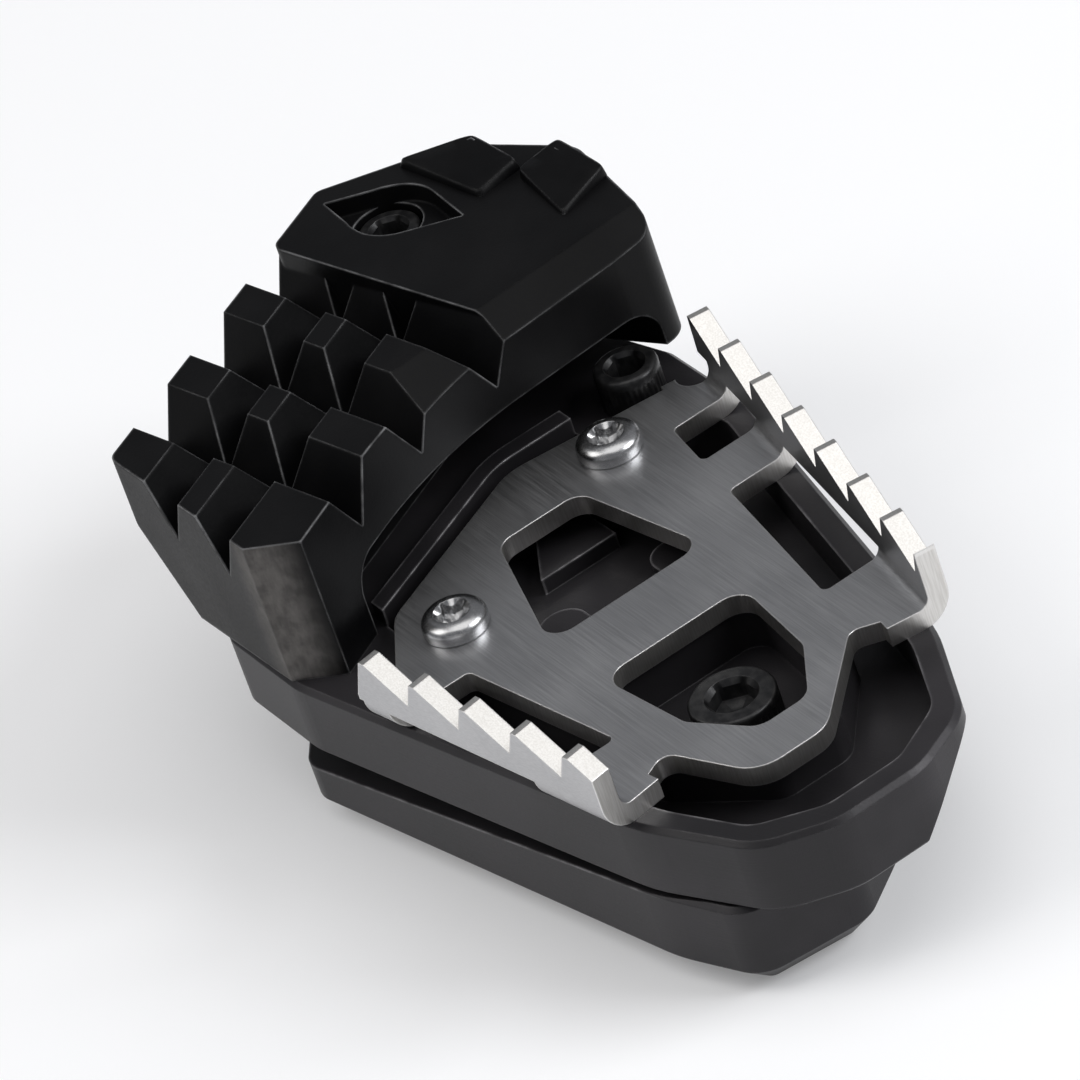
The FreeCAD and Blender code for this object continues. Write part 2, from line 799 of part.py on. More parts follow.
def bend_slot(body, name, side, start, end):
    """Slot that was cut across the bend line while the sheet was flat."""
    inner_start = flange_half_at(start) - S.slot_width
    inner_end = flange_half_at(end) - S.slot_width
    corners = [
        (start, side * (flange_half_at(start) + OVERSHOOT)),
        (end, side * (flange_half_at(end) + OVERSHOOT)),
        (end, side * inner_end, S.slot_round),
        (start, side * inner_start, S.slot_round),
    ]
    outline = corners if side < 0 else corners[::-1]
    pocket(body, name, outline, SEAT_Z + S.slot_rise, SEAT_Z - OVERSHOOT)


def teeth(body, name, side, start, slant, count):
    """Slanted rear end and saw teeth of a flange: long flanks towards the tip, steep flanks behind."""
    half = flange_half_at(start)
    plane_y = half + OVERSHOOT if side < 0 else half - S.sheet_thick - OVERSHOOT
    base = (start, SEAT_Z, -side * plane_y)
    through = S.sheet_thick + 2 * OVERSHOOT
    top = S.flange_height
    low = S.bend_inside + S.sheet_thick
    end = [
        (-OVERSHOOT, top + OVERSHOOT),
        (-OVERSHOOT, low),
        (0, low),
        (slant, top),
        (slant, top + OVERSHOOT),
    ]
    sketch = new_sketch(body, f"{name}_end_outline", "XZ_Plane", base, -side * S.flange_angle)
    draw_outline(sketch, end)
    extrude(body, "Pocket", sketch, f"{name}_end", through)
    gap = [
        (slant + S.tooth_land, top + OVERSHOOT),
        (slant + S.tooth_land, top),
        (slant + S.tooth_pitch - S.tooth_steep, top - S.tooth_depth),
        (slant + S.tooth_pitch, top),
        (slant + S.tooth_pitch, top + OVERSHOOT),
    ]
    sketch = new_sketch(body, f"{name}_gap_outline", "XZ_Plane", base, -side * S.flange_angle)
    draw_outline(sketch, gap)
    cut = extrude(body, "Pocket", sketch, f"{name}_gap", through)
    pattern(body, f"{name}_teeth", cut, (sketch, ["H_Axis"]), S.tooth_pitch, count)


def pattern(body, name, original, direction, pitch, count):
    """Copies of a feature in a row."""
    row = body.newObject("PartDesign::LinearPattern", name)
    row.Originals = [original]
    row.Direction = direction
    bind(row, "Length", pitch * (count - 1))
    row.Occurrences = int(count.value)
    row.setExpression("Occurrences", count.text)
    body.Tip = row
    doc.recompute()
    if row.Shape.Volume >= original.Shape.Volume:
        raise RuntimeError(f"{name} of {body.Label} cut nothing")
    return row


def screw(label, profile, key, key_depth, top, place):
    """A screw turned from a half profile, with a hexagon socket, standing at a place."""
    body = new_body(label)
    sketch = new_sketch(body, "profile", "XZ_Plane", (0, 0, 0))
    draw_outline(sketch, profile)
    turned = body.newObject("PartDesign::Revolution", "turned")
    turned.Profile = sketch
    turned.ReferenceAxis = (sketch, ["V_Axis"])
    turned.Angle = 360.0
    doc.recompute()
    flat = key / 2
    corner = key / SQRT_3
    hexagon = [
        (corner, 0),
        (corner / 2, flat),
        (-corner / 2, flat),
        (-corner, 0),
        (-corner / 2, -flat),
        (corner / 2, -flat),
    ]
    pocket(body, "socket", hexagon, top + OVERSHOOT, top - key_depth)
    for axis, size in zip("xyz", place):
        body.setExpression(f"Placement.Base.{axis}", as_dim(size).text)
    return body


def button_profile():
    """Half section of a button-head screw, seat at height zero."""
    radius = S.tread_screw_size / 2
    head = S.tread_head_width / 2
    high = S.tread_head_height
    return [
        (0, -S.tread_screw_reach),
        (radius, -S.tread_screw_reach),
        (radius, 0),
        (head, 0),
        (head, S.tread_head_rim),
        (head - S.tread_head_flank, high, S.tread_head_round),
        (0, high),
    ]


def socket_profile(size, width, high, length):
    """Half section of a socket-head screw, seat at height zero."""
    return [
        (0, -length),
        (size / 2, -length),
        (size / 2, 0),
        (width / 2, 0),
        (width / 2, high - S.edge_break),
        (width / 2 - S.edge_break, high),
        (0, high),
    ]


def tread_screws():
    """The two screws that hold the tread plate, as one group."""
    group = doc.addObject("Part::Compound", "tread_screws")
    group.Label = "tread_screws"
    group.Links = [
        screw(
            f"tread_screw_{name}",
            button_profile(),
            S.tread_key,
            S.tread_head_height * SOCKET_SHARE,
            S.tread_head_height,
            (-side * S.tread_screw_x, side * S.tread_screw_y, TREAD_Z),
        )
        for name, side in SIDES
    ]
    return group


def clamp_screws():
    """The two screws that draw the halves together: a low head in front, a full head behind."""
    heads = {
        "front": (S.front_head_width, S.front_head_height, S.front_key, SEAT_Z - S.front_seat_depth),
        "rear": (S.rear_head_width, S.rear_head_height, S.rear_key, SEAT_Z),
    }
    made = []
    for name, x, y, size in clamp_screw_places():
        width, high, key, seat = heads[name]
        profile = socket_profile(size, width, high, seat - S.screw_end_gap)
        made.append(screw(f"clamp_screw_{name}", profile, key, high * SOCKET_SHARE, high, (x, y, seat)))
    return made


def pad_base_outline():
    """Toe pad seen from above, in its own axes."""
    return [
        (S.pad_front_x, S.pad_front_y),
        (S.pad_bevel_x, S.pad_bevel_y),
        (S.pad_waist_x, S.pad_waist_y, S.pad_waist_round),
        (S.pad_end_near_x, S.pad_end_near_y),
        *pad_end_outline(),
        (S.pad_far_front_x, S.pad_far_y, S.pad_corner_round),
    ]


def pad_end_outline():
    """Corners round the raised end of the toe pad."""
    return [
        (S.pad_end_x, S.pad_end_y, S.pad_end_round),
        (S.pad_crown_near_x, S.pad_crown_near_y, S.pad_crown_round),
        (S.pad_crown_far_x, S.pad_crown_far_y, S.pad_crown_round),
        (S.pad_shoulder_x, S.pad_far_y, S.pad_corner_round),
    ]


def toe_pad():
    """Toothed pad: pyramids left between crossing grooves, a raised end with a crown, an arch below it."""
    body = new_body("toe_pad")
    valley = S.pad_base
    teeth_top = valley + S.pyramid_height
    platform = valley + S.platform_rise
    pad(body, "block", pad_base_outline(), 0, teeth_top)
    cross = (S.groove_first_x, S.pyramid_pitch_x, S.pyramid_land_x, S.cross_grooves)
    along = (S.groove_first_y, S.pyramid_pitch_y, S.pyramid_land_y, S.long_grooves)
    v_grooves(body, "cross", "XZ_Plane", valley, *cross, -S.groove_slant_angle)
    v_grooves(body, "long", "YZ_Plane", valley, *along)
    raised = [
        (S.step_near_x, S.step_near_y),
        (S.pad_end_near_x, S.pad_end_near_y),
        *pad_end_outline(),
        (S.step_far_x, S.pad_far_y, S.pad_corner_round),
    ]
    pad(body, "platform", raised, valley - OVERSHOOT, platform)
    facet = [
        (2 * S.facet_width, platform + S.facet_drop),
        (-S.facet_width, platform + S.facet_drop),
        (-S.facet_width, platform - 2 * S.facet_drop),
    ]
    edge = ((S.step_near_y + S.pad_end_near_y) / 2, 0, (S.step_near_x + S.pad_end_near_x) / 2)
    cut_across(body, "near_facet", "YZ_Plane", facet, S.pad_crown_near_x, edge, -S.facet_angle)
    crown = [
        (S.crown_near_x, S.crown_near_y),
        (S.crown_end_x, S.crown_end_y),
        (S.crown_out_x, S.crown_out_y),
        (S.crown_in_x, S.crown_in_y),
    ]
    far_crown = [
        (S.far_crown_near_x, S.far_crown_near_y),
        (S.far_crown_end_x, S.far_crown_end_y),
        (S.far_crown_out_x, S.far_crown_out_y),
        (S.far_crown_in_x, S.far_crown_in_y),
    ]
    pad(body, "crown", crown, platform, platform + S.crown_rise)
    pad(body, "far_crown", far_crown, platform, platform + S.crown_rise)
    slope = [
        (S.crown_near_x, platform + S.crown_foot),
        (S.pad_crown_near_x, platform + S.crown_rise),
        (S.pad_crown_near_x, platform + S.crown_rise + OVERSHOOT),
        (S.crown_near_x, platform + S.crown_rise + OVERSHOOT),
    ]
    cut_across(body, "crown_slope", "XZ_Plane", slope, ACROSS * S.pad_far_y)
    arch(body)
    under = [
        (S.pad_under_y, -OVERSHOOT),
        (S.pad_far_y + OVERSHOOT, -OVERSHOOT),
        (S.pad_far_y + OVERSHOOT, S.pad_under_height),
    ]
    cut_across(body, "under_bevel", "YZ_Plane", under, ACROSS * S.pad_far_y)
    middle = (S.recess_near_y + S.recess_far_y) / 2
    recess = [
        (S.pad_screw_x, S.recess_near_y),
        (S.pad_screw_x + S.recess_half, middle, S.recess_round),
        (S.pad_screw_x, S.recess_far_y),
        (S.pad_screw_x - S.recess_half, middle, S.recess_round),
    ]
    pocket(body, "recess", recess, platform + OVERSHOOT, platform - S.recess_depth)
    head = S.pad_head_width + 2 * S.head_clearance
    hole = S.pad_screw_size + 2 * S.hole_clearance
    seat = platform - S.pad_seat_depth
    drill(body, "screw_seat", S.pad_screw_x, S.pad_screw_y, head, platform + OVERSHOOT, seat)
    drill(body, "screw_hole", S.pad_screw_x, S.pad_screw_y, hole, platform + OVERSHOOT, Dim(-OVERSHOOT))
    body.setExpression("Placement.Base.z", SEAT_Z.text)
    body.setExpression("Placement.Rotation.Yaw", S.pad_angle.text)
    return body


def v_grooves(body, name, plane, valley, first, pitch, land, count, turn=None):
    """A row of V-shaped grooves right across the toothed top, with a land left between two of them."""
    half = (pitch - land) / 2
    top = valley + S.pyramid_height
    section = [
        (first - half, top + OVERSHOOT),
        (first - half, top),
        (first, valley),
        (first + half, top),
        (first + half, top + OVERSHOOT),
    ]
    cut = cut_across(body, f"{name}_groove", plane, section, ACROSS * S.pad_far_y, turn=turn)
    pattern(body, f"{name}_grooves", cut, (cut.Profile[0], ["H_Axis"]), pitch, count)


def arch(body):
    """Hollow below the raised end, open to the side of the tread plate, and a gap below its end wall."""
    section = [
        (S.arch_start_x, -OVERSHOOT),
        (S.arch_end_x, -OVERSHOOT),
        (S.arch_end_x, S.arch_height, S.arch_round),
        (S.arch_start_x, S.arch_height, S.arch_round),
    ]
    sketch = new_sketch(body, "arch_section", "XZ_Plane", (0, 0, -S.arch_back_y))
    draw_outline(sketch, section)
    extrude(body, "Pocket", sketch, "arch", S.arch_back_y - S.pad_end_y + OVERSHOOT, reverse=True)
    gap = [
        (S.arch_end_x - OVERSHOOT, S.pad_end_y - OVERSHOOT),
        (S.pad_crown_near_x + OVERSHOOT, S.pad_end_y - OVERSHOOT),
        (S.pad_crown_near_x + OVERSHOOT, S.end_gap_y),
        (S.arch_end_x - OVERSHOOT, S.end_gap_y),
    ]
    pocket(body, "end_gap", gap, S.end_gap, Dim(-OVERSHOOT))


def toe_pad_screw():
    """Socket-head screw that holds the toe pad on the rear deck of the upper half."""
    seat = SEAT_Z + S.pad_base + S.platform_rise - S.pad_seat_depth
    length = seat - UPPER_Z - S.screw_end_gap
    profile = socket_profile(S.pad_screw_size, S.pad_head_width, S.pad_head_height, length)
    place = (*pad_spot(S.pad_screw_x, S.pad_screw_y), seat)
    high = S.pad_head_height
    return screw("toe_pad_screw", profile, S.pad_key, high * SOCKET_SHARE, high, place)


def check(parts):
    """Stop if any object failed or any sub-part has no sound solid."""
    failed = [item.Name for item in doc.Objects if {"Invalid", "Error"} & set(item.State)]
    if failed:
        raise RuntimeError(f"failed objects: {failed}")
    for part in parts:
        if part.Shape.isNull() or not part.Shape.isValid() or not part.Shape.Solids:
            raise RuntimeError(f"{part.Label} has no valid solid")


def main():
    parts = [
        lower_clamp(),
        upper_clamp(),
        tread_plate(),
        tread_screws(),
        *clamp_screws(),
        toe_pad(),
        toe_pad_screw(),
    ]
    doc.recompute()
    check(parts)
    os.makedirs("parts", exist_ok=True)
    for part in parts:
        part.Shape.exportStep(f"parts/{part.Label}.step")


main()
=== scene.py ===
"""Looks of a clamp-on brake pedal extension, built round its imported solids.

The clamp halves, the tread plate and the toe pad keep their solids and get their finishes here.
The screws are remade as turned surfaces with recesses, chamfers and knurled heads, and two fuller
lugs lie over the plain ones on the toe pad's raised end.
"""

from __future__ import annotations

import json
import logging
import math
from dataclasses import dataclass
from enum import Enum
from typing import Any, Mapping, Sequence, Union

import bpy
import numpy as np
from mathutils import Matrix, Vector

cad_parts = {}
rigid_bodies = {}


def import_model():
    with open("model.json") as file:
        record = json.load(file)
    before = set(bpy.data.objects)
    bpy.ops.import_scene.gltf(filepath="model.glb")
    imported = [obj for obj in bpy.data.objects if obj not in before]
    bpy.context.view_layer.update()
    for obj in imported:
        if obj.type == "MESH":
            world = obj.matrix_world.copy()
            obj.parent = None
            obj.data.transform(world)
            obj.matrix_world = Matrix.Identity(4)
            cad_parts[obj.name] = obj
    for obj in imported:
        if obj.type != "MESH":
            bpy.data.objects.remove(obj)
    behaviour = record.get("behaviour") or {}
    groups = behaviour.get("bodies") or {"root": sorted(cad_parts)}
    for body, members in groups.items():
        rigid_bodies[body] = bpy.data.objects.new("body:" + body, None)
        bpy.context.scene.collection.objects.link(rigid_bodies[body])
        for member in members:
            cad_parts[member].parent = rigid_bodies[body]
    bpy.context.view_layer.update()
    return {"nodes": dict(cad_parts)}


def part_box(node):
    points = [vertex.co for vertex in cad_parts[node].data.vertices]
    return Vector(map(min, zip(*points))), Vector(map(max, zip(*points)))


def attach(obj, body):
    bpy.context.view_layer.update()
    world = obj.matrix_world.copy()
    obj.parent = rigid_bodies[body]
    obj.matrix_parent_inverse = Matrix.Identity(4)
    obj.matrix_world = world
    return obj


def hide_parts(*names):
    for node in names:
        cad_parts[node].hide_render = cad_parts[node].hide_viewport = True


LOG = logging.getLogger("pedal_extension")

MM = 0.001
BODY = "root"

RAY_SAMPLES = 6
EDGE_MASK_SPAN = (0.18, 0.5)
NOISE_MIDDLE = 0.5
QUARTER = math.pi / 2

# Sockets of a colour's Mix node, by number because their names repeat.
MIX_SHARE, MIX_LOW, MIX_HIGH, MIX_RESULT = 0, 6, 7, 2

Triple = tuple[float, float, float]
Colour = Triple
Span = tuple[float, float]
Corner = tuple[float, float]
Feed = Union[float, Sequence[float], "Term"]


class Term:
    """A socket whose operators add Math nodes to the graph that it belongs to."""

    def __init__(self, graph: "Graph", socket: bpy.types.NodeSocket) -> None:
        """Keep the graph and the socket.

        Args:
            graph: The graph that new nodes go into.
            socket: The output socket that is wrapped.
        """
        self.graph = graph
        self.socket = socket

    def maths(self, operation: str, *values: Feed) -> "Term":
        """Add one Math node.

        Args:
            operation: The node's operation.
            values: Its inputs, in order.

        Returns:
            The node's output.
        """
        return self.graph.node("ShaderNodeMath", {"operation": operation}, dict(enumerate(values)))

    def __add__(self, other: Feed) -> "Term":
        """Sum."""
        return self.maths("ADD", self, other)

    def __radd__(self, other: Feed) -> "Term":
        """Sum with a number in front."""
        return self.maths("ADD", other, self)

    def __sub__(self, other: Feed) -> "Term":
        """Difference."""
        return self.maths("SUBTRACT", self, other)

    def __rsub__(self, other: Feed) -> "Term":
        """Difference from a number in front."""
        return self.maths("SUBTRACT", other, self)

    def __mul__(self, other: Feed) -> "Term":
        """Product."""
        return self.maths("MULTIPLY", self, other)

    def __rmul__(self, other: Feed) -> "Term":
        """Product with a number in front."""
        return self.maths("MULTIPLY", other, self)

    def __abs__(self) -> "Term":
        """Size without the sign."""
        return self.maths("ABSOLUTE", self)

    def hypot(self, other: "Term") -> "Term":
        """Length of the vector with this and another value as its parts."""
        return self.maths("SQRT", self * self + other * other)

    def step(self, low: float, high: float) -> "Term":
        """Smooth step from 0 at low to 1 at high; low may be the larger number.

        Args:
            low: Where the step starts.
            high: Where the step ends.

        Returns:
            The stepped value.
        """
        inputs = {"Value": self, "From Min": low, "From Max": high, "To Min": 0.0, "To Max": 1.0}
        return self.graph.node("ShaderNodeMapRange", {"interpolation_type": "SMOOTHSTEP"}, inputs)


@dataclass(frozen=True)
class Pattern:
    """Cloudy noise on the place in millimetres.

    The scale is in cells to a millimetre. A small stretch factor pulls the cells out along its
    axis, and the turn, in degrees, is about the upright.
    """

    scale: float
    stretch: Triple = (1.0, 1.0, 1.0)
    turn: float = 0.0
    detail: float = 3.0


class Graph:
    """The node tree of one material, with a Principled shader at its end."""

    def __init__(self, name: str) -> None:
        """Start a material that has only its output.

        Args:
            name: The material's name.
        """
        self.material = bpy.data.materials.new(name)
        self.material.use_nodes = True
        self.tree = self.material.node_tree
        self.tree.nodes.remove(self.tree.nodes["Principled BSDF"])
        place = self.node("ShaderNodeTexCoord", output="Object")
        scale = {"operation": "SCALE"}
        self.place = self.node("ShaderNodeVectorMath", scale, {0: place, "Scale": 1 / MM})

    def node(
        self,
        kind: str,
        settings: Mapping[str, Any] | None = None,
        inputs: Mapping[Union[int, str], Feed] | None = None,
        output: Union[int, str] = 0,
    ) -> Term:
        """Add any node, set it up and feed it.

        Args:
            kind: The node's type.
            settings: Its properties, set first.
            inputs: Values or links of its sockets, by name or number.
            output: The output to hand back.

        Returns:
            That output.
        """
        made = self.tree.nodes.new(kind)
        for key, value in (settings or {}).items():
            setattr(made, key, value)
        for key, value in (inputs or {}).items():
            self.feed(made.inputs[key], value)
        return Term(self, made.outputs[output])

    def feed(self, socket: bpy.types.NodeSocket, value: Feed) -> None:
        """Link a socket to a term, or set its own value.

        Args:
            socket: The input socket.
            value: A term, a number, or the parts of a vector or colour.
        """
        if isinstance(value, Term):
            self.tree.links.new(value.socket, socket)
        elif socket.type == "RGBA":
            socket.default_value = (*value, 1.0)
        else:
            socket.default_value = value

    def axes(self, vector: Term | None = None) -> tuple[Term, Term, Term]:
        """The three parts of a vector, by default of the place in millimetres.

        Args:
            vector: The vector to take apart.

        Returns:
            Its x, y and z.
        """
        parts = self.node("ShaderNodeSeparateXYZ", inputs={0: vector or self.place})
        return tuple(Term(self, output) for output in parts.socket.node.outputs)

    def noise(self, pattern: Pattern) -> Term:
        """Noise of a pattern.

        Args:
            pattern: The pattern.

        Returns:
            A value round a half.
        """
        cell = [1 / factor for factor in pattern.stretch]
        rotation = (0.0, 0.0, math.radians(pattern.turn))
        turned = {"Vector": self.place, "Rotation": rotation, "Scale": cell}
        vector = self.node("ShaderNodeMapping", {"vector_type": "TEXTURE"}, turned)
        inputs = {"Vector": vector, "Scale": pattern.scale, "Detail": pattern.detail}
        return self.node("ShaderNodeTexNoise", {}, inputs)

    @staticmethod
    def swing(base: float, *parts: tuple[Term, float]) -> Term:
        """Let a value swing with noises that lie round a half.

        Args:
            base: The middle value.
            parts: Each noise and the whole width of its swing.

        Returns:
            The base with every swing added.
        """
        value: Feed = base
        for noise, width in parts:
            value = value + (noise - NOISE_MIDDLE) * width
        return value

    def mix(self, share: Feed, low: Feed, high: Feed) -> Term:
        """Blend two colours.

        Args:
            share: 0 for the first colour, 1 for the second.
            low: The first colour.
            high: The second colour.

        Returns:
            The blend.
        """
        inputs = {MIX_SHARE: share, MIX_LOW: low, MIX_HIGH: high}
        return self.node("ShaderNodeMix", {"data_type": "RGBA"}, inputs, MIX_RESULT)

    def edge_wear_and_highlight(self, reach: float) -> Term:
        """How near an outer edge is: rays inside the solid leave it soon there.

        Args:
            reach: How far from the edge the mask fades out, in millimetres.

        Returns:
            1 on an outer edge, 0 away from it.
        """
        settings = {"inside": True, "only_local": True, "samples": RAY_SAMPLES}
        distance = {"Distance": reach * MM}
        open_share = self.node("ShaderNodeAmbientOcclusion", settings, distance, "AO")
        return (1 - open_share).step(*EDGE_MASK_SPAN)

    def facing(self) -> tuple[Term, Term, Term]:
        """How far a face looks along each axis, either way: 1 square to the axis, 0 along it."""
        normal = self.node("ShaderNodeNewGeometry", output="True Normal")
        return tuple(abs(part) for part in self.axes(normal))

    def relief(self, height: Term, depth: float, edge_round: float) -> Term:
        """Bump of a height field, on edges that are rounded a little.

        Args:
            height: The height field, about 0 to 1.
            depth: Depth of the relief, in millimetres.
            edge_round: Radius of the edges, in millimetres.

        Returns:
            The normal.
        """
        radius = {"Radius": edge_round * MM}
        rounded = self.node("ShaderNodeBevel", {"samples": RAY_SAMPLES}, radius)
        inputs = {"Height": height, "Distance": depth * MM, "Strength": 1.0, "Normal": rounded}
        return self.node("ShaderNodeBump", {}, inputs)

    def finish(self, **inputs: Feed) -> bpy.types.Material:
        """Put the Principled shader before the output.

        Args:
            inputs: The shader's sockets, with _ for spaces.

        Returns:
            The finished material.
        """
        named = {key.replace("_", " "): value for key, value in inputs.items()}
        shader = self.node("ShaderNodeBsdfPrincipled", {}, named)
        self.feed(self.tree.nodes["Material Output"].inputs["Surface"], shader)
        return self.material


@dataclass(frozen=True)
class Anodised:
    """Milled aluminium, anodised black: satin walls, fine cutter lines, edges paler as rubbed wear
    and as a painted highlight.
    """

    name: str = "anodised_black"
    dark: Colour = (0.017, 0.0158, 0.0177)
    pale: Colour = (0.031, 0.0286, 0.0317)
    # Pale edge colour: partly rubbed wear, partly a painted highlight along the outer edges.
    edge: Colour = (0.30, 0.29, 0.30)
    rough: float = 0.43
    metallic: float = 0.40
    cloud: Pattern = Pattern(0.06)
    grain: Pattern = Pattern(5.0, detail=2.0)
    lines: Pattern = Pattern(1.2, (0.03, 0.03, 5.0), detail=2.0)
    sweep: Pattern = Pattern(0.9, (0.12, 3.0, 1.0), turn=24.0, detail=2.0)
    rubs: Pattern = Pattern(0.35)
    cloud_span: Span = (0.35, 0.70)
    rub_span: Span = (0.35, 0.70)
    least_wear_and_highlight: float = 0.25
    edge_mask_reach: float = 0.45
    grain_rough: float = 0.16
    cloud_rough: float = 0.14
    wear_polish: float = 0.08
    relief_share: float = 0.5
    relief_depth: float = 0.02
    edge_round: float = 0.25

    def material(self) -> bpy.types.Material:
        """Build the material: cloudy tint, cutter lines along the walls and grain all over.

        Returns:
            The material.
        """
        g = Graph(self.name)
        cloud, grain = g.noise(self.cloud), g.noise(self.grain)
        up = g.facing()[2]
        cut = g.noise(self.lines) * (1 - up) + g.noise(self.sweep) * up
        rubs = g.noise(self.rubs).step(*self.rub_span)
        # Outer edges go pale: partly rubbed wear, partly a painted highlight for light caught on
        # the edges.
        wear_and_highlight = g.edge_wear_and_highlight(self.edge_mask_reach) * (self.least_wear_and_highlight + rubs * (1 - self.least_wear_and_highlight))
        tint = g.mix(cloud.step(*self.cloud_span), self.dark, self.pale)
        rough = g.swing(self.rough, (grain, self.grain_rough), (cloud, self.cloud_rough))
        return g.finish(
            Base_Color=g.mix(wear_and_highlight, tint, self.edge),
            Metallic=self.metallic,
            Roughness=rough - wear_and_highlight * self.wear_polish,
            Normal=g.relief((grain + cut) * self.relief_share, self.relief_depth, self.edge_round),
        )


@dataclass(frozen=True)
class BrushedSheet:
    """Stainless sheet: brushed along its length, bright laser-cut edges with upright striations,
    outer edges paler as wear and as a painted highlight.
    """

    name: str = "brushed_stainless"
    dark: Colour = (0.43, 0.43, 0.438)
    pale: Colour = (0.57, 0.57, 0.577)
    cut: Colour = (0.60, 0.585, 0.56)
    # Pale colour of the striations on cut edges, and of the outer edges, where it is partly wear
    # and partly a painted highlight.
    edge: Colour = (0.80, 0.79, 0.775)
    rough: float = 0.36
    flat_top: float = 24.15
    flange_foot: float = 24.35
    streak: Pattern = Pattern(3.0, (0.05, 3.2, 3.2), detail=4.0)
    cloud: Pattern = Pattern(0.07, detail=4.0)
    striae: Pattern = Pattern(2.6, (2.2, 2.2, 0.12), detail=2.0)
    streak_span: Span = (0.30, 0.70)
    cloud_span: Span = (0.30, 0.75)
    face_span: Span = (0.15, 0.35)
    streak_share: float = 0.6
    striae_share: float = 0.5
    wear_and_highlight_share: float = 0.8
    edge_mask_reach: float = 0.30
    streak_rough: float = 0.20
    cloud_rough: float = 0.16
    relief_depth: float = 0.012
    edge_round: float = 0.18

    def material(self) -> bpy.types.Material:
        """Build the material: long streaks on the sheet's faces, short upright ones on cut edges.

        Below the flat's top a face of the sheet looks up or down, and above it sideways.

        Returns:
            The material.
        """
        g = Graph(self.name)
        streak, cloud, striae = (g.noise(p) for p in (self.streak, self.cloud, self.striae))
        above = g.axes()[2].step(self.flat_top, self.flange_foot)
        _, sideways, upwards = (part.step(*self.face_span) for part in g.facing())
        face = upwards * (1 - above) + sideways * above
        long_marks = streak.step(*self.streak_span) * self.streak_share
        clouds = cloud.step(*self.cloud_span) * (1 - self.streak_share)
        short_marks = striae.step(*self.streak_span) * self.striae_share
        flat = g.mix(long_marks + clouds, self.dark, self.pale)
        body = g.mix(face, g.mix(short_marks, self.cut, self.edge), flat)
        height = streak * face + striae * (1 - face)
        return g.finish(
            # Outer edges mixed towards the pale colour: partly wear, partly a painted highlight.
            Base_Color=g.mix(g.edge_wear_and_highlight(self.edge_mask_reach) * self.wear_and_highlight_share, body, self.edge),
            Metallic=1.0,
            Roughness=g.swing(self.rough, (streak, self.streak_rough), (cloud, self.cloud_rough)),
            Normal=g.relief(height, self.relief_depth, self.edge_round),
        )


@dataclass(frozen=True)
class PadBlack:
    """Half-gloss black of the toe pad: pale edges as nicks and as a painted highlight, and a rubbed
    brownish corner in front.
    """

    name: str = "pad_black"
    dark: Colour = (0.0024, 0.0024, 0.0027)
    pale: Colour = (0.0050, 0.0049, 0.0053)
    # Pale edge colour: partly nicks, partly a painted highlight along the pad's edges.
    edge: Colour = (0.26, 0.26, 0.265)
    scuff: Colour = (0.19, 0.179, 0.170)
    scuff_place: Corner = (-4.0, -29.4)
    scuff_reach: Span = (5.4, 1.0)
    rough: float = 0.38
    gloss: float = 0.11
    cloud: Pattern = Pattern(0.09, detail=4.0)
    grain: Pattern = Pattern(3.0)
    rub: Pattern = Pattern(2.0, (1.0, 1.0, 0.30), detail=6.0)
    blotch: Pattern = Pattern(0.5, detail=4.0)
    nicks: Pattern = Pattern(0.45)
    cloud_span: Span = (0.30, 0.75)
    rub_span: Span = (0.34, 0.68)
    blotch_span: Span = (0.35, 0.65)
    nick_span: Span = (0.35, 0.70)
    upright_span: Span = (0.4, 0.8)
    least_bare: float = 0.50
    rub_share: float = 0.16
    blotch_share: float = 0.32
    scuff_share: float = 0.85
    least_wear_and_highlight: float = 0.35
    edge_mask_reach: float = 0.35
    grain_rough: float = 0.18
    cloud_rough: float = 0.20
    scuff_rough: float = 0.25
    grain_relief: float = 0.6
    relief_depth: float = 0.018
    edge_round: float = 0.55

    def material(self) -> bpy.types.Material:
        """Build the material: gloss with faint dust, pale edges as nicks and as a painted
        highlight, and rubs at the corner.

        Returns:
            The material.
        """
        g = Graph(self.name)
        x, y, _ = g.axes()
        cloud, grain = g.noise(self.cloud), g.noise(self.grain)
        rub = g.noise(self.rub).step(*self.rub_span) * self.rub_share
        blotch = g.noise(self.blotch).step(*self.blotch_span) * self.blotch_share
        away = (x - self.scuff_place[0]).hypot(y - self.scuff_place[1])
        upright = 1 - g.facing()[2].step(*self.upright_span)
        scuff = away.step(*self.scuff_reach) * (self.least_bare + rub + blotch) * upright
        nicks = g.noise(self.nicks).step(*self.nick_span)
        # Outer edges go pale where the nicks noise allows: partly nicks, partly a painted highlight
        # standing in for bright edge lines.
        wear_and_highlight = g.edge_wear_and_highlight(self.edge_mask_reach) * (self.least_wear_and_highlight + nicks * (1 - self.least_wear_and_highlight))
        tint = g.mix(cloud.step(*self.cloud_span), self.dark, self.pale)
        rubbed = g.mix(scuff * self.scuff_share, tint, self.scuff)
        rough = g.swing(self.rough, (grain, self.grain_rough), (cloud, self.cloud_rough))
        height = grain * self.grain_relief + scuff * (1 - self.grain_relief)
        return g.finish(
            Base_Color=g.mix(wear_and_highlight, rubbed, self.edge),
            Metallic=0.0,
            Roughness=rough + scuff * self.scuff_rough,
            Specular_IOR_Level=self.gloss,
            Normal=g.relief(height, self.relief_depth, self.edge_round),
        )


